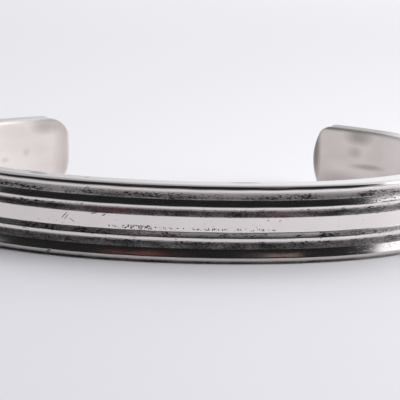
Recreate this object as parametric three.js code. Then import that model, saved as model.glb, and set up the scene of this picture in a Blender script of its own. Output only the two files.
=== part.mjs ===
// Open cuff bracelet: one bar of silver, grooved along its outer face and bent round the wrist.
// Millimetres, +Z up. The cuff lies on its lower edge, its front faces -Y and its gap faces +Y.
import * as THREE from "three";

// The wrist hollow, measured between the inner faces.
const WRIST_WIDTH = 56.8;
const WRIST_DEPTH = 44.6;
// How full the bend is at its front corners and at its sides, as shares of the plain ellipse.
const CORNER_FULLNESS = 0.0206;
const SIDE_FULLNESS = 0.0039;
// From the middle of the gap to the tip of each end, on the inner face.
const RIGHT_END_REACH = 15.6;
const LEFT_END_REACH = 14.6;

// The bar's cross-section.
const BAND_WIDTH = 8.2;
const BAND_THICKNESS = 2.8;
const CHANNEL_DEPTH = 0.7;
const RIDGE_DROP = 0.33;
const COVE_DEPTH = 0.6;
const INNER_EDGE_RADIUS = 0.35;
const OUTER_EDGE_RADIUS = 0.4;

// The outline of each end: how far its middle stands out, and how round its two corners are.
const RIGHT_END_BOW = 1.0;
const LEFT_END_BOW = 0.35;
const RIGHT_CORNER_RADIUS = 0.7;
const LEFT_CORNER_RADIUS = 1.9;
const END_EDGE_RADIUS = 0.6;

// How finely the form is faceted.
const BEND_STEPS = 54;
const END_STEPS = 3;
const LINE_SAMPLES = 1200;
const REACH_HALVINGS = 40;
// How much of the straight between two corners their fillets may take.
const FILLET_ROOM = 0.96;

const SILVER = { color: 0xc9c5c3, roughness: 0.22, metalness: 1.0 };

// Upper half of the outer face, from the middle channel to the rim.
// across is a share of half the band's width, down is in millimetres below the rim, and facets
// is how many flats round the corner.
const OUTER_FACE = [
  { across: 0.2, down: CHANNEL_DEPTH, radius: 0.15, facets: 1 },
  { across: 0.3, down: 0.25 * CHANNEL_DEPTH + 0.75 * RIDGE_DROP, radius: 0.5, facets: 1 },
  { across: 0.41, down: RIDGE_DROP, radius: 0.45, facets: 2 },
  { across: 0.63, down: COVE_DEPTH, radius: 0.25, facets: 1 },
  { across: 0.87, down: 0.02 * BAND_THICKNESS, radius: 0.3, facets: 1 },
  { across: 1.0, down: 0, radius: OUTER_EDGE_RADIUS, facets: 3 },
];

// The line of the inner face in plan, from the left end round the front to the right end.
class WristLine extends THREE.Curve {
  constructor(fromAngle, toAngle) {
    super();
    this.fromAngle = fromAngle;
    this.toAngle = toAngle;
    this.arcLengthDivisions = LINE_SAMPLES;
  }

  getPoint(t, target = new THREE.Vector3()) {
    const angle = this.fromAngle + (this.toAngle - this.fromAngle) * t;
    const width = Math.sin(angle) + SIDE_FULLNESS * Math.sin(3 * angle);
    const depth = Math.cos(angle) - CORNER_FULLNESS * Math.cos(3 * angle);
    const x = (0.5 * WRIST_WIDTH * width) / (1 - SIDE_FULLNESS);
    const y = (-0.5 * WRIST_DEPTH * depth) / (1 - CORNER_FULLNESS);
    return target.set(x, y, 0);
  }
}

// The angle round the line at which it has come back to a given distance from the gap's middle.
function angleOfReach(reach) {
  const halfTurn = new WristLine(0.5 * Math.PI, Math.PI);
  let near = 0;
  let far = 1;
  for (let step = 0; step < REACH_HALVINGS; step += 1) {
    const middle = 0.5 * (near + far);
    if (halfTurn.getPoint(middle).x > reach) near = middle;
    else far = middle;
  }
  return 0.5 * Math.PI * (1 + near);
}

// Rounds each corner of an open outline, with neighbouring fillets kept clear of each other.
function fillet(corners) {
  const bends = corners.map((corner, index) => {
    const before = corners[Math.max(index - 1, 0)].point;
    const after = corners[Math.min(index + 1, corners.length - 1)].point;
    const arrive = corner.point.clone().sub(before).normalize();
    const leave = after.clone().sub(corner.point).normalize();
    const turn = Math.acos(THREE.MathUtils.clamp(arrive.dot(leave), -1, 1));
    return { arrive, leave, cut: corner.radius * Math.tan(0.5 * turn) };
  });
  const outline = [];
  for (let index = 1; index < corners.length - 1; index += 1) {
    const { point, facets } = corners[index];
    const { arrive, leave, cut } = bends[index];
    const room = (other) => {
      const straight = FILLET_ROOM * point.distanceTo(corners[other].point);
      return straight / (cut + bends[other].cut);
    };
    const fit = cut * Math.min(1, room(index - 1), room(index + 1));
    const start = point.clone().addScaledVector(arrive, -fit);
    const end = point.clone().addScaledVector(leave, fit);
    outline.push(...new THREE.QuadraticBezierCurve(start, point, end).getPoints(facets));
  }
  return outline;
}

// How deep the inner face is rounded over at a height above the band's middle.
function innerDepth(height) {
  const past = Math.max(0, Math.abs(height) - (0.5 * BAND_WIDTH - INNER_EDGE_RADIUS));
  return INNER_EDGE_RADIUS - Math.sqrt(Math.max(0, INNER_EDGE_RADIUS ** 2 - past ** 2));
}

// The bar's section, counter-clockwise: x is outward from the inner face and y is up. It goes up
// the outer face and comes down the inner face through the same heights.
function sectionOutline() {
  const half = 0.5 * BAND_WIDTH;
  const corner = (row, side) => ({
    ...row,
    point: new THREE.Vector2(BAND_THICKNESS - row.down, side * row.across * half),
  });
  const edge = (side) => ({ point: new THREE.Vector2(0, side * half), radius: 0 });
  const lower = [...OUTER_FACE].reverse().map((row) => corner(row, -1));
  const upper = OUTER_FACE.map((row) => corner(row, 1));
  const outer = fillet([edge(-1), ...lower, ...upper, edge(1)]);
  const inner = outer.map(({ y }) => new THREE.Vector2(innerDepth(y), y));
  return [...outer, ...inner.reverse()];
}

// How far an end's outline falls back from its tip at a height above the band's middle.
function endSetback(height, bow, cornerRadius) {
  const half = 0.5 * BAND_WIDTH;
  const radius = Math.min(cornerRadius, half);
  const share = Math.abs(height) / half;
  const past = Math.max(0, Math.abs(height) - (half - radius));
  return bow * share * share + radius - Math.sqrt(Math.max(0, radius * radius - past * past));
}

// The stations along the band: where each lies between the ends, and how far it is drawn in.
function stations() {
  const list = [];
  for (let step = 0; step < END_STEPS; step += 1) {
    const angle = (0.5 * Math.PI * step) / END_STEPS;
    const forward = END_EDGE_RADIUS * (1 - Math.cos(angle));
    list.push({ share: 0, forward, inset: END_EDGE_RADIUS * (1 - Math.sin(angle)) });
  }
  for (let step = 0; step <= BEND_STEPS; step += 1) {
    const share = step / BEND_STEPS;
    list.push({ share, forward: END_EDGE_RADIUS * (1 - 2 * share), inset: 0 });
  }
  for (let step = END_STEPS - 1; step >= 0; step -= 1) {
    const { forward, inset } = list[step];
    list.push({ share: 1, forward: -forward, inset });
  }
  return list;
}

function cuffGeometry() {
  const line = new WristLine(-angleOfReach(LEFT_END_REACH), angleOfReach(RIGHT_END_REACH));
  const length = line.getLength();
  const section = sectionOutline();
  const half = 0.5 * BAND_WIDTH;
  const middle = 0.5 * BAND_THICKNESS;
  const rows = stations();
  const positions = [];
  for (const { share, forward, inset } of rows) {
    for (const { x: depth, y: height } of section) {
      const start = endSetback(height, LEFT_END_BOW, LEFT_CORNER_RADIUS);
      const end = length - endSetback(height, RIGHT_END_BOW, RIGHT_CORNER_RADIUS);
      const u = (start + (end - start) * share + forward) / length;
      const point = line.getPointAt(u);
      const along = line.getTangentAt(u);
      const outward = middle + (depth - middle) * (1 - inset / middle);
      const z = height * (1 - inset / half);
      positions.push(point.x + along.y * outward, point.y - along.x * outward, half + z);
    }
  }
  const ring = section.length;
  const indices = [];
  for (let row = 0; row < rows.length - 1; row += 1) {
    for (let step = 0; step < ring; step += 1) {
      const next = (step + 1) % ring;
      const a = row * ring + step;
      const b = a + ring;
      const c = (row + 1) * ring + next;
      const d = row * ring + next;
      indices.push(a, b, c, a, c, d);
    }
  }
  // Each end is closed across the band's thickness, one height at a time.
  const last = (rows.length - 1) * ring;
  for (let step = 0; step < 0.5 * ring - 1; step += 1) {
    const across = ring - 1 - step;
    indices.push(step, step + 1, across - 1, step, across - 1, across);
    indices.push(last + step, last + across - 1, last + step + 1);
    indices.push(last + step, last + across, last + across - 1);
  }
  const geometry = new THREE.BufferGeometry();
  geometry.setAttribute("position", new THREE.Float32BufferAttribute(positions, 3));
  geometry.setIndex(indices);
  // The origin is the middle of the cuff's footprint, on the surface that it lies on.
  geometry.computeBoundingBox();
  const centre = geometry.boundingBox.getCenter(new THREE.Vector3());
  geometry.translate(-centre.x, -centre.y, -geometry.boundingBox.min.z);
  geometry.computeVertexNormals();
  return geometry;
}

const cuffBand = new THREE.Mesh(cuffGeometry(), new THREE.MeshStandardMaterial(SILVER));
cuffBand.name = "cuff_band";

const cuff = new THREE.Group();
cuff.add(cuffBand);

export default cuff;
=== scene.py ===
# An open silver cuff bracelet, lying on its lower edge with its front band towards the camera.
from math import cos, pi, radians, sin

import bpy
import numpy as np
from mathutils import Matrix, Vector


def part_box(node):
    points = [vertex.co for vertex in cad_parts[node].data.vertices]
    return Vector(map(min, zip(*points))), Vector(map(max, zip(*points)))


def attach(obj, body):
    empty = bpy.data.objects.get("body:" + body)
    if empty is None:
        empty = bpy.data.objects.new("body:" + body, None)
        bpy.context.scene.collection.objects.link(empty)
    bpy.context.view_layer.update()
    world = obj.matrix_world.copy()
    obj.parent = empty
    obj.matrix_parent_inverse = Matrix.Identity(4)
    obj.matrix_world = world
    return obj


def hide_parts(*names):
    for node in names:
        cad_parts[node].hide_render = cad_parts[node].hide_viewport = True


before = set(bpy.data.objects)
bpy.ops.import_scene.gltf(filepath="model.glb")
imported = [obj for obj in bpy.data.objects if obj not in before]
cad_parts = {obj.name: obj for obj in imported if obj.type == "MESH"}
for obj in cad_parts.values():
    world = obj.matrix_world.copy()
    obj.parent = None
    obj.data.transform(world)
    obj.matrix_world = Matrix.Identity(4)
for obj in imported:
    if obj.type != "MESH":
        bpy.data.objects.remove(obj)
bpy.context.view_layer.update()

# The band
# One bar of silver with a flat channel, two ridges and two coves rolled along its outer face,
# bent cold round a wrist-shaped former. Its ends are filed round and every edge is eased.
MM = 0.001
WRIST_WIDTH = 56.8
WRIST_DEPTH = 44.6
# How full the bend is at its front corners and at its sides, as shares of the plain ellipse.
CORNER_FULLNESS = 0.0206
SIDE_FULLNESS = 0.0039
# From the middle of the gap to the tip of each end, on the inner face.
RIGHT_END_REACH = 15.6
LEFT_END_REACH = 14.6
BAND_WIDTH = 8.2
BAND_THICKNESS = 2.8
HALF_BAND = BAND_WIDTH / 2
CHANNEL_DEPTH = 0.7
RIDGE_DROP = 0.33
COVE_DEPTH = 0.6
INNER_EDGE_RADIUS = 0.35
# The lower edge is worn rounder than the upper one.
UPPER_EDGE_RADIUS = 0.5
LOWER_EDGE_RADIUS = 0.65
# Each end: how far its middle stands out, and the radius of its two corners.
LEFT_END = {"bow": 0.35, "corner": 1.9}
RIGHT_END = {"bow": 1.0, "corner": 0.7}
END_EDGE_RADIUS = 0.6
# Upper half of the outer face: share of the half width, depth below the rim, corner radius.
OUTER_FACE = [
    (0.22, CHANNEL_DEPTH, 0.2),
    (0.34, RIDGE_DROP + 0.02, 0.3),
    (0.44, RIDGE_DROP, 0.5),
    (0.63, COVE_DEPTH, 0.25),
    (0.73, 0.57 * COVE_DEPTH, 5.0),
    (0.83, 0.04, 0.25),
    (1.0, 0.0, UPPER_EDGE_RADIUS),
]
# Filing by hand leaves the outer face very slightly rippled. Each row is one wave: its radians a
# millimetre along the bar and up it, and its phase.
RIPPLE_DEPTH = 0.007
RIPPLES = [(0.9, 1.3, 0), (1.7, -2.1, 1)]
# How finely the form is drawn, with the longest step on the faces and on the edges.
FILLET_STEPS = 4
FACE_STEP = 0.25
EDGE_STEP = 0.3
STATIONS = 420
END_STEPS = 8
LINE_SAMPLES = 6000
REACH_SAMPLES = 4000
# How much of the straight between two corners their fillets may take.
FILLET_ROOM = 0.96


def wrist_line(angle):
    """The inner face's line in plan, in millimetres, by the angle round from the front."""
    width = np.sin(angle) + SIDE_FULLNESS * np.sin(3 * angle)
    depth = np.cos(angle) - CORNER_FULLNESS * np.cos(3 * angle)
    x = WRIST_WIDTH / 2 * width / (1 - SIDE_FULLNESS)
    y = -WRIST_DEPTH / 2 * depth / (1 - CORNER_FULLNESS)
    return np.stack([x, y], axis=-1)


def angle_of_reach(reach):
    """The angle at which the line has come back to this distance from the gap's middle."""
    angles = np.linspace(pi / 2, pi, REACH_SAMPLES)
    return float(np.interp(-reach, -wrist_line(angles)[:, 0], angles))


def fillet(corners):
    """An open outline through (x, y, radius) corners, with each one rounded off."""
    points = np.array([(x, y) for x, y, _ in corners])
    sides = np.diff(points, axis=0)
    lengths = np.hypot(sides[:, 0], sides[:, 1])
    unit = sides / lengths[:, None]
    cuts = np.zeros(len(corners))
    for i in range(1, len(corners) - 1):
        turn = np.arccos(np.clip(unit[i - 1] @ unit[i], -1, 1))
        cuts[i] = corners[i][2] * np.tan(turn / 2)
    outline = []
    for i in range(1, len(corners) - 1):
        before = FILLET_ROOM * lengths[i - 1] / (cuts[i] + cuts[i - 1])
        after = FILLET_ROOM * lengths[i] / (cuts[i] + cuts[i + 1])
        fit = cuts[i] * min(1, before, after)
        start = points[i] - fit * unit[i - 1]
        end = points[i] + fit * unit[i]
        for t in np.linspace(0, 1, FILLET_STEPS + 1):
            outline.append((1 - t) ** 2 * start + 2 * t * (1 - t) * points[i] + t * t * end)
    return np.array(outline)


def refine(outline, longest):
    """The same outline with no side longer than this."""
    fine = [outline[0]]
    for a, b in zip(outline[:-1], outline[1:]):
        steps = max(1, int(np.ceil(np.hypot(*(b - a)) / longest)))
        fine += [a + (b - a) * k / steps for k in range(1, steps + 1)]
    return np.array(fine)


def inner_depth(height):
    """How deep the inner face is rounded over at this height above the band's middle."""
    past = np.maximum(0, np.abs(height) - (HALF_BAND - INNER_EDGE_RADIUS))
    return INNER_EDGE_RADIUS - np.sqrt(np.maximum(0, INNER_EDGE_RADIUS**2 - past**2))


def end_setback(height, bow, corner):
    """How far an end's outline falls back from its tip at this height."""
    share = np.abs(height) / HALF_BAND
    past = np.maximum(0, np.abs(height) - (HALF_BAND - corner))
    return bow * share**2 + corner - np.sqrt(np.maximum(0, corner**2 - past**2))


# The bar's section, as points of depth out from the inner face and height above its middle: up the
# outer face, over the upper edge, down the inner face and back under.
upper = [(BAND_THICKNESS - down, share * HALF_BAND, radius) for share, down, radius in OUTER_FACE]
lower = [(depth, -height, radius) for depth, height, radius in reversed(upper)]
lower[0] = (*lower[0][:2], LOWER_EDGE_RADIUS)
outer = refine(fillet([(0, -HALF_BAND, 0), *lower, *upper, (0, HALF_BAND, 0)]), FACE_STEP)
inner = np.stack([inner_depth(outer[:, 1]), outer[:, 1]], axis=1)[::-1]
top = refine(np.array([outer[-1], inner[0]]), EDGE_STEP)[1:-1]
bottom = refine(np.array([inner[-1], outer[0]]), EDGE_STEP)[1:-1]
section = np.concatenate([outer, top, inner, bottom])
ring = len(section)

# How far round the section each point is from the middle of the channel, up over the upper rim.
steps = np.hypot(*np.diff(np.vstack([section, section[:1]]), axis=0).T)
girth = steps.sum()
gone_round = np.concatenate([[0], np.cumsum(steps[:-1])])
wrap = gone_round - np.interp(0, outer[:, 1], gone_round[: len(outer)])
wrap = np.where(wrap > girth / 2, wrap - girth, wrap)

# The line that the bar follows, with its direction and the length travelled at each point.
reaches = (-angle_of_reach(LEFT_END_REACH), angle_of_reach(RIGHT_END_REACH))
angles = np.linspace(*reaches, LINE_SAMPLES)
line = wrist_line(angles)
travelled = np.concatenate([[0], np.cumsum(np.hypot(*np.diff(line, axis=0).T))])
band_length = travelled[-1]
front_at = float(np.interp(0, angles, travelled))
heading = np.gradient(line, travelled, axis=0)

# Each station is a share of the way between the ends, a step forward and how far it is drawn in.
stations = []
for step in range(END_STEPS):
    bend = pi / 2 * step / END_STEPS
    stations.append((0, END_EDGE_RADIUS * (1 - cos(bend)), END_EDGE_RADIUS * (1 - sin(bend))))
closing = [(1, -forward, inset) for _, forward, inset in reversed(stations)]
for step in range(STATIONS + 1):
    share = step / STATIONS
    stations.append((share, END_EDGE_RADIUS * (1 - 2 * share), 0))
stations += closing

depth = section[:, 0]
height = section[:, 1]
middle = BAND_THICKNESS / 2
left_tip = end_setback(height, **LEFT_END)
right_tip = band_length - end_setback(height, **RIGHT_END)
rows = []
bar_rows = []
skin_rows = []
for share, forward, inset in stations:
    at = left_tip + (right_tip - left_tip) * share + forward
    point = np.stack([np.interp(at, travelled, line[:, k]) for k in (0, 1)], axis=1)
    along = np.stack([np.interp(at, travelled, heading[:, k]) for k in (0, 1)], axis=1)
    out = middle + (depth - middle) * (1 - inset / middle)
    waves = sum(np.sin(a * at + b * height + phase) for a, b, phase in RIPPLES)
    out = np.where(depth > middle, out + RIPPLE_DEPTH * (waves - len(RIPPLES)), out)
    up = height * (1 - inset / HALF_BAND)
    x = point[:, 0] + along[:, 1] * out
    y = point[:, 1] - along[:, 0] * out
    rows.append(np.stack([x, y, HALF_BAND + up], axis=1))
    bar_rows.append(np.stack([at - front_at, up, out], axis=1))
    skin_rows.append(np.stack([at - front_at, wrap, np.zeros(ring)], axis=1))
vertices = np.concatenate(rows)
bar = np.concatenate(bar_rows)
skin = np.concatenate(skin_rows)

faces = []
for row in range(len(stations) - 1):
    here = row * ring
    onward = here + ring
    for step in range(ring):
        beside = (step + 1) % ring
        faces.append((here + step, onward + step, onward + beside, here + beside))
# Each end is closed across the band's thickness, one height at a time.
face_points = len(outer)
inner_from = face_points + len(top)
for base, flip in ((0, False), ((len(stations) - 1) * ring, True)):
    caps = []
    for k in range(1, face_points - 2):
        across = inner_from + face_points - 1 - k
        caps.append([k, k + 1, across - 1, across])
    caps.append([face_points - 2, *range(face_points - 1, inner_from + 2)])
    caps.append([*range(inner_from + face_points - 2, ring), 0, 1])
    faces += [tuple(base + v for v in (reversed(cap) if flip else cap)) for cap in caps]

# The CAD frame's origin is the middle of the footprint.
low, high = (Vector(corner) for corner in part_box("cuff_band"))
footprint = np.array([(low.x + high.x) / 2, (low.y + high.y) / 2]) / MM
plan_middle = (vertices[:, :2].min(axis=0) + vertices[:, :2].max(axis=0)) / 2
vertices[:, :2] += footprint - plan_middle

# Two places are kept with each vertex, both in millimetres from the front's middle: in the
# straight bar, along, up and out from the inner face, and on its skin, along and round.
band_mesh = bpy.data.meshes.new("silver_band")
band_mesh.from_pydata((vertices * MM).tolist(), [], faces)
band_mesh.polygons.foreach_set("use_smooth", [True] * len(band_mesh.polygons))
for name, values in (("bar_mm", bar), ("skin_mm", skin)):
    attribute = band_mesh.attributes.new(name, "FLOAT_VECTOR", "POINT")
    attribute.data.foreach_set("vector", values.ravel())
band = bpy.data.objects.new("silver_band", band_mesh)
bpy.context.collection.objects.link(band)


def linear(code):
    """A linear colour from an sRGB hex value."""
    parts = [int(code[i : i + 2], 16) / 255 for i in (1, 3, 5)]
    return tuple(p / 12.92 if p <= 0.04045 else ((p + 0.055) / 1.055) ** 2.4 for p in parts) + (1,)


def add_node(tree, kind, settings=None):
    """Adds one node. A setting is a property, an input's value or the output that feeds it."""
    node = tree.nodes.new(kind)
    for name, value in (settings or {}).items():
        if isinstance(value, bpy.types.NodeSocket):
            tree.links.new(value, node.inputs[name])
        elif isinstance(name, str) and hasattr(node, name):
            setattr(node, name, value)
        else:
            node.inputs[name].default_value = value
    return node


# Sterling silver, rolled, polished and then worn: a bright mirror on the flats and crests, black
# oxide left in the coves and corners, pits and hairlines over it, and a dull, darker warm tone
# inside. Painted shade darkens the lower rim and the upper edge of the channel's flat, and some of
# the red-brown is painted reflection.
OUTER_SILVER = "#e8e2df"
INNER_SILVER = "#f7f0ec"
WARM_DULL_TONE = "#99918b"
# Black: oxide, and the painted shade along the lower rim.
BLACK_OXIDE_AND_SHADE = "#2a2727"
# Red-brown: tarnish, and painted reflection of red things in the room.
BROWN_TARNISH_AND_REFLECTION = "#6e5052"
POLISHED_ROUGHNESS = 0.1
OXIDE_ROUGHNESS = 0.34
SATIN_ROUGHNESS = 0.4
# How metallic the bottom of a pit or scratch still looks.
PIT_METALLIC = 0.05
RELIEF_DEPTH = 0.02 * MM

silver = bpy.data.materials.new("worn_sterling_silver")
silver.use_nodes = True
tree = silver.node_tree
tree.nodes.clear()
bar_at = add_node(tree, "ShaderNodeAttribute", {"attribute_name": "bar_mm"}).outputs["Vector"]
skin_at = add_node(tree, "ShaderNodeAttribute", {"attribute_name": "skin_mm"}).outputs["Vector"]
place = add_node(tree, "ShaderNodeSeparateXYZ", {0: bar_at}).outputs


def product(*levels):
    """Several levels multiplied, so that each masks the others."""
    level = levels[0]
    for other in levels[1:]:
        pair = {"operation": "MULTIPLY", 0: level, 1: other}
        level = add_node(tree, "ShaderNodeMath", pair).outputs["Value"]
    return level


def strongest(*levels):
    """The highest of several levels at each place."""
    level = levels[0]
    for other in levels[1:]:
        pair = {"operation": "MAXIMUM", 0: level, 1: other}
        level = add_node(tree, "ShaderNodeMath", pair).outputs["Value"]
    return level


def zone(axis, start, end, at_start=0.0, at_end=1.0):
    """A level that changes between two places in the bar and is held beyond them. In millimetres,
    X is along it from the front's middle, Y up from its middle and Z out from its inner face."""
    span = {"From Min": start, "From Max": end, "To Min": at_start, "To Max": at_end}
    return add_node(tree, "ShaderNodeMapRange", {"Value": place[axis], **span}).outputs["Result"]


def between(axis, low, high, soft):
    """One inside a stretch of the bar, falling to none over a soft distance outside it."""
    return product(zone(axis, low - soft, low), zone(axis, high + soft, high))


def grain(along, across, detail, roughness, shift=0.0, cut=(0.0, 1.0), levels=(0.0, 1.0)):
    """Noise with so many grains a millimetre along and across the rolling. What lies between the
    two values of the cut is spread over the two levels. The shift sets one noise off another."""
    mapping = {"Vector": bar_at, "Scale": (along, across, across), "Location": (shift,) * 3}
    scaled = add_node(tree, "ShaderNodeMapping", mapping).outputs["Vector"]
    noise = {"Vector": scaled, "Scale": 1.0, "Detail": detail, "Roughness": roughness}
    value = add_node(tree, "ShaderNodeTexNoise", noise).outputs["Fac"]
    span = {"From Min": cut[0], "From Max": cut[1], "To Min": levels[0], "To Max": levels[1]}
    return add_node(tree, "ShaderNodeMapRange", {"Value": value, **span}).outputs["Result"]


def strip_ramp(strips):
    """A level for each place across the outer face. Each row is a share of the half width, from
    the lower rim at -1 to the upper one at 1, and the level there."""
    ramp = add_node(tree, "ShaderNodeValToRGB", {"Fac": zone("Y", -HALF_BAND, HALF_BAND)})
    stops = ramp.color_ramp.elements
    for stop, position in zip(stops, (0, 1)):
        stop.position = position
        stop.color = (0, 0, 0, 1)
    for share, level in strips:
        stops.new((share + 1) / 2).color = (level, level, level, 1)
    return ramp.outputs["Color"]


def soft_patch(surface_at, along, across, angle, half_length, half_width, soft):
    """One long mark: its place in millimetres, its angle to the rolling and half its size."""
    mark = {
        "vector_type": "TEXTURE",
        "Vector": surface_at,
        "Location": (along, across, 0),
        "Rotation": (0, 0, radians(angle)),
        "Scale": (half_length, half_width, 1),
    }
    turned_to = add_node(tree, "ShaderNodeMapping", mark).outputs["Vector"]
    reach = add_node(tree, "ShaderNodeVectorMath", {"operation": "LENGTH", 0: turned_to})
    edge = {"Value": reach.outputs["Value"], "From Min": 1 + soft, "From Max": 1 - soft}
    return add_node(tree, "ShaderNodeMapRange", edge).outputs["Result"]


outer_side = zone("Z", 1.7, 1.95)
# The film of oxide: heaviest in the corners of the channel and on the upper side of each cove.
# Along the lower rim, from its crest to its edge, the darkening is painted shade instead: the dark
# reflection of the card's shadow under the cuff.
FILM_AND_SHADE_STRIPS = [
    # Painted shade on the lower rim: the reflection of the card's shadow under the cuff.
    (-0.97, 1.0),
    (-0.93, 0.92),
    (-0.9, 0.35),
    (-0.885, 0.2),
    (-0.85, 0.2),
    (-0.82, 0.3),
    (-0.66, 0.35),
    (-0.635, 0.93),
    (-0.48, 0.95),
    (-0.44, 0.5),
    (-0.42, 0.05),
    (-0.36, 0.05),
    (-0.335, 0.9),
    (-0.3, 0.72),
    (-0.26, 0.35),
    (-0.225, 0.0),
    # Painted shade: the darkening runs on to the flat's upper edge, for the shade in that corner.
    (0.155, 0.0),
    (0.18, 1.0),
    (0.31, 1.0),
    (0.37, 0.6),
    (0.39, 0.03),
    (0.47, 0.05),
    (0.52, 0.3),
    (0.61, 0.7),
    (0.65, 0.88),
    (0.71, 0.7),
    (0.77, 0.4),
    (0.82, 0.0),
]
cloud = grain(0.45, 1.2, 3.0, 0.55, cut=(0.3, 0.7), levels=(0.85, 1.1))
mottle = grain(6.0, 12.0, 4.0, 0.7, shift=5.0, cut=(0.35, 0.65), levels=(0.75, 1.15))
film_and_painted_shade = product(strip_ramp(FILM_AND_SHADE_STRIPS), outer_side, cloud, mottle)
# The right of the front is polished cleaner than the middle, and so is the upper cove's left.
right_cleaner = zone("X", 14.0, 22.0, 1.0, 0.7)
upper_left = product(zone("Y", 2.4, 2.8), zone("X", -8.0, -13.0))
left_cleaner = {"Value": upper_left, "To Min": 1.0, "To Max": 0.6}
left_cleaner = add_node(tree, "ShaderNodeMapRange", left_cleaner).outputs["Result"]
film_and_painted_shade = product(film_and_painted_shade, right_cleaner, left_cleaner)
# The lower side of the channel was never polished out: it is dull, and black towards both sides.
unpolished = product(between("Y", -1.26, -1.02, 0.16), outer_side)
left_black = zone("X", -3.0, -6.5, 0.0, 0.85)
right_black = zone("X", 11.0, 15.5, 0.0, 0.8)
blackened = product(unpolished, strongest(left_black, right_black), mottle)
film_and_painted_shade = strongest(film_and_painted_shade, blackened)

# Black flecks about 0.3 mm long and 0.1 mm across, which reach a little past the film on to the
# crests. They are thickest towards both sides.
FLECK_STRIPS = [
    (-0.84, 0.0),
    (-0.8, 0.25),
    (-0.66, 0.35),
    (-0.6, 0.6),
    (-0.45, 0.8),
    (-0.41, 0.1),
    (-0.36, 0.5),
    (-0.32, 1.0),
    (-0.25, 0.95),
    (-0.2, 0.1),
    (0.14, 0.0),
    (0.17, 0.5),
    (0.3, 0.7),
    (0.37, 0.75),
    (0.42, 0.1),
    (0.6, 0.1),
    (0.64, 0.9),
    (0.72, 1.0),
    (0.78, 0.75),
    (0.82, 0.2),
    (0.86, 0.0),
]
fleck_cloud = grain(0.35, 0.8, 2.0, 0.5, shift=11.0, cut=(0.4, 0.6), levels=(0.35, 1.0))
to_left = zone("X", 6.0, -14.0, 0.85, 1.08)
to_sides = {"operation": "ADD", 0: to_left, 1: zone("X", 4.0, 15.0, 0.0, 0.32)}
to_sides = add_node(tree, "ShaderNodeMath", to_sides).outputs["Value"]
fleck_room = product(strip_ramp(FLECK_STRIPS), outer_side, fleck_cloud, to_sides)
# On the right, the lower side of the upper cove is flecked too, and streaked with film.
right_cove = product(between("Y", 1.9, 2.6, 0.15), outer_side, zone("X", 13.5, 17.5, 0.0, 0.62))
fleck_room = strongest(fleck_room, right_cove)
fleck_grain = grain(3.0, 8.0, 3.0, 0.65, shift=3.0)
fleck_level = {"operation": "MULTIPLY_ADD", 0: fleck_room, 1: 0.24, 2: fleck_grain}
fleck_level = add_node(tree, "ShaderNodeMath", fleck_level).outputs["Value"]
flecks = {"Value": fleck_level, "From Min": 0.7, "From Max": 0.73}
flecks = add_node(tree, "ShaderNodeMapRange", flecks).outputs["Result"]
streaks = grain(0.5, 10.0, 3.0, 0.6, shift=21.0, cut=(0.42, 0.6), levels=(0.0, 1.1))
film_and_painted_shade = strongest(film_and_painted_shade, product(streaks, right_cove))

# Worn pits low on the channel's flat, each about 0.15 mm across: a thick patch left of the middle
# and a thin row that runs on to the right. Both are stretches along the bar and up it.
THICK_PITS = (-6.4, -3.6)
THICK_ROW = (-0.75, -0.4)
THIN_PITS = (-7.8, 8.8)
THIN_ROW = (-0.66, -0.5)
THIN_CROWD = 0.4
PIT_CELLS_PER_MM = (5.2, 7.5, 1.0)
pit_cells = {"Vector": bar_at, "Scale": PIT_CELLS_PER_MM}
pit_cells = add_node(tree, "ShaderNodeMapping", pit_cells).outputs["Vector"]
pit_spots = add_node(tree, "ShaderNodeTexVoronoi", {"Vector": pit_cells, "Scale": 1.0}).outputs
chance = add_node(tree, "ShaderNodeSeparateXYZ", {0: pit_spots["Color"]}).outputs["X"]
thick = product(between("X", *THICK_PITS, 0.2), between("Y", *THICK_ROW, 0.06))
thin = product(between("X", *THIN_PITS, 0.2), THIN_CROWD, between("Y", *THIN_ROW, 0.06))
crowd = product(strongest(thick, thin), outer_side)
spare = add_node(tree, "ShaderNodeMath", {"operation": "SUBTRACT", 0: crowd, 1: chance})
pit_here = {"Value": spare.outputs["Value"], "From Max": 0.04}
pit_here = add_node(tree, "ShaderNodeMapRange", pit_here).outputs["Result"]
pit_dots = {"Value": pit_spots["Distance"], "From Min": 0.54, "From Max": 0.38}
pit_dots = add_node(tree, "ShaderNodeMapRange", pit_dots).outputs["Result"]
pits = product(pit_dots, pit_here)

# Single scratches and nicks: along and round the bar in millimetres from the front's middle, the
# angle to the rolling direction, and half the length and width.
SCRATCHES = [
    (-16.5, 6.6, 2, 1.2, 0.4),
    (-15.7, 5.8, 3, 0.9, 0.3),
    (-10.5, 5.9, 0, 0.2, 0.2),
    (5.6, 6.2, 0, 1.5, 0.2),
    (-10.1, 3.6, 40, 0.3, 0.05),
    (-9.85, 3.6, 45, 0.22, 0.04),
    (-13.8, -3.95, 38, 0.45, 0.12),
    (-12.42, 0.17, 50, 0.4, 0.04),
    (-12.2, 0.0, 54, 0.32, 0.035),
    (-11.6, -0.3, -36, 0.3, 0.025),
    (7.8, 0.4, 25, 0.12, 0.04),
    (9.0, 0.35, 15, 0.12, 0.04),
    (-9.4, 0.62, 10, 0.3, 0.05),
    (-8.4, 0.5, 25, 0.2, 0.05),
]
scratched = strongest(*[soft_patch(skin_at, *row, 0.3) for row in SCRATCHES])
worn_marks = strongest(pits, product(scratched, 0.8))

# The dark film is tinted red-brown in a few long patches with the same columns: partly brown
# tarnish, and partly painted reflection of red things in the room, as in the patch below the
# channel.
BROWN_PATCHES = [
    (-7.2, 1.15, 0, 3.2, 0.3),
    (9.3, 1.15, 0, 2.2, 0.28),
    (-3.9, -1.4, 0, 3.4, 0.22),
    (-6.5, 3.9, 0, 3.5, 0.25),
    (3.5, 3.2, 0, 2.0, 0.25),
]
red_brown_share = strongest(*[soft_patch(skin_at, *row, 0.5) for row in BROWN_PATCHES])
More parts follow.
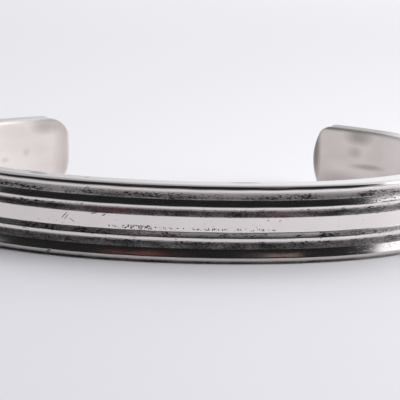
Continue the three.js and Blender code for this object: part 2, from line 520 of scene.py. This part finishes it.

# Inside, the face is dulled and darkened towards a warm grey, more towards the right end and
# at the tips of both, and in a few smears: along and up the bar, the angle, half the length and
# width, and how dark.
INNER_SMEARS = [
    (58.4, 3.3, -4, 1.5, 0.8, 0.6),
    (58.9, 1.3, 0, 0.8, 0.6, 0.3),
    (57.0, -0.3, -3, 2.0, 0.3, 0.5),
    (64.4, 1.0, 88, 2.8, 0.45, 0.65),
    (60.6, -2.4, 0, 2.6, 0.9, 0.25),
    (-62.5, 3.1, 0, 1.5, 0.7, 0.42),
    (-59.9, 0.1, 0, 0.45, 0.4, 0.25),
    (-56.7, -0.65, 0, 0.6, 0.3, 0.3),
]
inner_side = zone("Z", 0.9, 0.3)
to_right = zone("X", 46.0, 62.0, 0.0, 0.17)
from_front = add_node(tree, "ShaderNodeMath", {"operation": "ABSOLUTE", 0: place["X"]})
at_tip = {
    "Value": from_front.outputs["Value"],
    "From Min": band_length / 2 - 2.0,
    "From Max": band_length / 2 - 0.3,
    "To Max": 0.35,
}
at_tip = add_node(tree, "ShaderNodeMapRange", at_tip).outputs["Result"]
inner_cloud = grain(0.14, 0.22, 2.0, 0.45, shift=31.0, cut=(0.35, 0.65), levels=(-0.08, 0.12))
smears = [product(soft_patch(bar_at, *patch, 0.6), dark) for *patch, dark in INNER_SMEARS]
inner_dulling = to_right
for more in (at_tip, inner_cloud, strongest(*smears)):
    both = {"operation": "ADD", 0: inner_dulling, 1: more}
    inner_dulling = add_node(tree, "ShaderNodeMath", both).outputs["Value"]
# The upper edge of the right end is darkened the same way.
right_edge = product(zone("X", 50.0, 56.0, 0.0, 0.85), zone("Y", 3.8, 4.0))
inner_dulling = strongest(product(inner_dulling, inner_side), right_edge)

dark_share = strongest(film_and_painted_shade, flecks, worn_marks)
faces_tone = {"Factor": inner_side, "A": linear(OUTER_SILVER), "B": linear(INNER_SILVER)}
faces_tone = add_node(tree, "ShaderNodeMix", {"data_type": "RGBA", **faces_tone})
clean_tone = {"Factor": inner_dulling, "A": faces_tone.outputs["Result"], "B": linear(WARM_DULL_TONE)}
clean_tone = add_node(tree, "ShaderNodeMix", {"data_type": "RGBA", **clean_tone})
dark_tone = {"Factor": red_brown_share, "A": linear(BLACK_OXIDE_AND_SHADE), "B": linear(BROWN_TARNISH_AND_REFLECTION)}
dark_tone = add_node(tree, "ShaderNodeMix", {"data_type": "RGBA", **dark_tone}).outputs["Result"]
tone = {"Factor": dark_share, "A": clean_tone.outputs["Result"], "B": dark_tone}
tone = add_node(tree, "ShaderNodeMix", {"data_type": "RGBA", **tone}).outputs["Result"]

# Relief: the flecks, pits and scratches are sunk in, and fine hairlines run along the rolling,
# drawn coarser than the real ones of about 0.02 mm so that they show.
hairlines = product(grain(0.4, 9.0, 4.0, 0.7, shift=41.0), 0.45)
sunk = strongest(product(flecks, 0.2), worn_marks)
surface = add_node(tree, "ShaderNodeMath", {"operation": "SUBTRACT", 0: hairlines, 1: sunk})
relief = {"Strength": 0.35, "Distance": RELIEF_DEPTH, "Height": surface.outputs["Value"]}
relief = add_node(tree, "ShaderNodeBump", relief).outputs["Normal"]
# The polished metal is a mirror; film, oxide, the painted shade on the lower rim and the inner
# face, which is only satin, are not.
dulled = strongest(dark_share, inner_dulling, unpolished)
polish = {"Value": dulled, "To Min": POLISHED_ROUGHNESS, "To Max": OXIDE_ROUGHNESS}
polish = add_node(tree, "ShaderNodeMapRange", polish).outputs["Result"]
polish = strongest(polish, product(inner_side, SATIN_ROUGHNESS))
matt = strongest(product(unpolished, 0.6), product(inner_side, 0.4), worn_marks)
metallic = {"Value": matt, "To Min": 1.0, "To Max": PIT_METALLIC}
metallic = add_node(tree, "ShaderNodeMapRange", metallic).outputs["Result"]
metal = {"Base Color": tone, "Metallic": metallic, "Roughness": polish, "Normal": relief}
metal = add_node(tree, "ShaderNodeBsdfPrincipled", metal).outputs["BSDF"]
add_node(tree, "ShaderNodeOutputMaterial", {"Surface": metal})
band_mesh.materials.append(silver)
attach(band, "root")
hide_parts("cuff_band")

# The camera
# A long lens close to the cuff, looking a little down at the front band, so that the band runs out
# of both sides of the frame and the two ends stand above it at the back.
FRAME_PIXELS = 400
SENSOR_MM = 36.0
FOCAL_PIXELS = 1891
FRONT_TO_CAMERA = 191.8 * MM
CAMERA_HEIGHT = 42.64 * MM
CAMERA_SIDE = 1.46 * MM
LOOK_DOWN = radians(10.76)
CAMERA_ROLL = radians(1.79)
CUFF_TURN = radians(0.95)
NEAREST_SEEN = 5 * MM
FARTHEST_SEEN = 20

# It is placed from the front of the inner face, and turned about the middle of the wrist's curve.
half_wrist = WRIST_DEPTH / 2 * MM
curve_centre_y = low.y + BAND_THICKNESS * MM + half_wrist
around = Matrix.Translation((0, curve_centre_y, 0)) @ Matrix.Rotation(-CUFF_TURN, 4, "Z")
stand = Matrix.Translation((CAMERA_SIDE, -FRONT_TO_CAMERA - half_wrist, CAMERA_HEIGHT))
aim = Matrix.Rotation(pi / 2 - LOOK_DOWN, 4, "X") @ Matrix.Rotation(CAMERA_ROLL, 4, "Z")
camera_data = bpy.data.cameras.new("camera")
camera_data.sensor_width = SENSOR_MM
camera_data.lens = FOCAL_PIXELS * SENSOR_MM / FRAME_PIXELS
camera_data.clip_start = NEAREST_SEEN
camera_data.clip_end = FARTHEST_SEEN
camera = bpy.data.objects.new("camera", camera_data)
camera.matrix_world = around @ stand @ aim
bpy.context.collection.objects.link(camera)
bpy.context.scene.camera = camera

# The card under the cuff
# A large sheet of matt white card, a hair below the edge that the cuff lies on. Its front is
# painted a little greyer: painted shade where the camera stands in its light.
CARD_REACH = 2.0
CARD_DROP = 0.01 * MM
# Painted shade of the camera: full in front of the first line, gone behind the second.
SHADED_FROM = -28 * MM
LIT_FROM = -8 * MM
SHADED_CARD = "#dddce0"
LIT_CARD = "#ecebee"
CARD_ROUGHNESS = 0.9

card_mesh = bpy.data.meshes.new("white_card")
card_corners = [(-1, -1), (1, -1), (1, 1), (-1, 1)]
card_points = [(x * CARD_REACH, y * CARD_REACH, -CARD_DROP) for x, y in card_corners]
card_mesh.from_pydata(card_points, [], [(0, 1, 2, 3)])
card = bpy.data.objects.new("white_card", card_mesh)
bpy.context.collection.objects.link(card)
matt_card = bpy.data.materials.new("matt_white_card")
matt_card.use_nodes = True
tree = matt_card.node_tree
card_at = add_node(tree, "ShaderNodeNewGeometry").outputs["Position"]
card_y = add_node(tree, "ShaderNodeSeparateXYZ", {0: card_at}).outputs["Y"]
# The painted shade: the card's colour greys from its lit tone to its shaded one towards the front.
lit_share = {"Value": card_y, "From Min": SHADED_FROM, "From Max": LIT_FROM}
lit_share = add_node(tree, "ShaderNodeMapRange", lit_share).outputs["Result"]
card_tone = {"Factor": lit_share, "A": linear(SHADED_CARD), "B": linear(LIT_CARD)}
card_tone = add_node(tree, "ShaderNodeMix", {"data_type": "RGBA", **card_tone}).outputs["Result"]
card_shader = tree.nodes["Principled BSDF"]
card_shader.inputs["Roughness"].default_value = CARD_ROUGHNESS
card_shader.inputs["Specular IOR Level"].default_value = 0.0
tree.links.new(card_tone, card_shader.inputs["Base Color"])
card_mesh.materials.append(matt_card)

# The studio
# A dark room behind the camera, a window to the right and a pale wall and ceiling, which only the
# silver mirrors. The card is lit apart from them, by a soft fill, a large soft light overhead and
# light from the window.
ROOM_DARK = "#262728"
PALE_TINT = (0.95, 0.96, 1.0)
# In degrees: how high the room starts and is full, and the azimuths at which the window on the
# right and the wall on the left cut it off. Each cut leans with height.
ROOM_STARTS = 0.5
ROOM_FULL = 14
WINDOW_CUT = 55
WINDOW_LEAN = -0.52
WALL_CUT = 60
WALL_LEAN = -0.7
# The azimuth and elevation of the window, and of the pale side beyond it.
WINDOW_AT = (88, 34)
PALE_SIDE_AT = (130, 0)
# Two dull brown things high in the room, long and low, seen in the lower cove: the azimuth and
# elevation of each, half its width and height as sines, and its colour.
BROWN_THINGS = [
    (-21, 60, 0.15, 0.042, "#a56b68"),
    (41, 57, 0.085, 0.065, "#c9b5ad"),
]
FRONT_FILL = (0.19, 0.19, 0.2, 1)
BACK_FILL = (1.0, 1.0, 1.03, 1)
# Each lamp: its name, side in metres, power in watts and place.
LAMPS = [
    ("overhead_softbox", 0.5, 1.13, (0.15, 0.45, 0.35)),
    ("right_window", 0.2, 0.55, (0.22, -0.06, 0.12)),
]

world = bpy.data.worlds.new("studio")
world.use_nodes = True
bpy.context.scene.world = world
tree = world.node_tree
tree.nodes.clear()
sight = add_node(tree, "ShaderNodeTexCoord").outputs["Generated"]


def toward(azimuth, elevation):
    """A direction: azimuth from the camera's side round to the right, and height, in degrees."""
    across_floor = cos(radians(elevation))
    turn = radians(azimuth)
    return (across_floor * sin(turn), -across_floor * cos(turn), sin(radians(elevation)))


def facing(direction, low, high, at_low=0.0, at_high=1.0):
    """How nearly a ray points in a direction, by its cosine, as a soft-edged level."""
    dot = {"operation": "DOT_PRODUCT", 0: sight, 1: direction}
    cosine = add_node(tree, "ShaderNodeVectorMath", dot).outputs["Value"]
    span = {"From Min": low, "From Max": high, "To Min": at_low, "To Max": at_high}
    return add_node(tree, "ShaderNodeMapRange", {"Value": cosine, **span}).outputs["Result"]


from_card = facing((0, 0, 1), sin(radians(ROOM_STARTS)), sin(radians(ROOM_FULL)))
to_ceiling = facing((0, 1, 0), 0.1, -0.1)
window_cut = (cos(radians(WINDOW_CUT)), sin(radians(WINDOW_CUT)), WINDOW_LEAN)
wall_cut = (-cos(radians(WALL_CUT)), sin(radians(WALL_CUT)), WALL_LEAN)
short_of_window = facing(window_cut, 0.15, 0.0)
short_of_wall = facing(wall_cut, 0.08, 0.0)
room = product(from_card, to_ceiling, short_of_window, short_of_wall)
pale_side = facing(toward(*PALE_SIDE_AT), 0.5, 0.75, 0.5, 1.15)
window = facing(toward(*WINDOW_AT), 0.86, 0.98)
pale = add_node(tree, "ShaderNodeMath", {"operation": "ADD", 0: pale_side, 1: window})
pale = {"operation": "SCALE", 0: PALE_TINT, "Scale": pale.outputs["Value"]}
pale = add_node(tree, "ShaderNodeVectorMath", pale).outputs["Vector"]
mirrored = {"Factor": room, "A": pale, "B": linear(ROOM_DARK)}
mirrored = add_node(tree, "ShaderNodeMix", {"data_type": "RGBA", **mirrored}).outputs["Result"]
for azimuth, elevation, half_width, half_height, code in BROWN_THINGS:
    turn = radians(azimuth)
    rise = radians(elevation)
    beside = (cos(turn), sin(turn), 0)
    over = (-sin(rise) * sin(turn), sin(rise) * cos(turn), cos(rise))
    sideways = facing(beside, -2 * half_width, 2 * half_width, -2, 2)
    upwards = facing(over, -2 * half_height, 2 * half_height, -2, 2)
    squared = {0: product(sideways, sideways), 1: product(upwards, upwards)}
    squared = add_node(tree, "ShaderNodeMath", {"operation": "ADD", **squared})
    shape = {"Value": squared.outputs["Value"], "From Min": 1.0, "From Max": 0.5}
    shape = add_node(tree, "ShaderNodeMapRange", shape).outputs["Result"]
    thing = {"Factor": shape, "A": mirrored, "B": linear(code)}
    mirrored = add_node(tree, "ShaderNodeMix", {"data_type": "RGBA", **thing}).outputs["Result"]
fill = {"Factor": facing((0, 1, 0), -0.6, 0.6), "A": FRONT_FILL, "B": BACK_FILL}
fill = add_node(tree, "ShaderNodeMix", {"data_type": "RGBA", **fill}).outputs["Result"]
in_mirror = add_node(tree, "ShaderNodeLightPath").outputs["Is Glossy Ray"]
seen = {"Factor": in_mirror, "A": fill, "B": mirrored}
seen = add_node(tree, "ShaderNodeMix", {"data_type": "RGBA", **seen}).outputs["Result"]
studio_light = add_node(tree, "ShaderNodeBackground", {"Color": seen}).outputs["Background"]
add_node(tree, "ShaderNodeOutputWorld", {"Surface": studio_light})

for name, side, power, place_at in LAMPS:
    lamp_data = bpy.data.lights.new(name, "AREA")
    lamp_data.shape = "SQUARE"
    lamp_data.size = side
    lamp_data.energy = power
    lamp = bpy.data.objects.new(name, lamp_data)
    lamp.location = place_at
    lamp.rotation_euler = (-lamp.location).to_track_quat("-Z", "Y").to_euler()
    lamp.visible_glossy = False
    lamp.visible_camera = False
    bpy.context.collection.objects.link(lamp)

bpy.context.scene.view_settings.view_transform = "Standard"
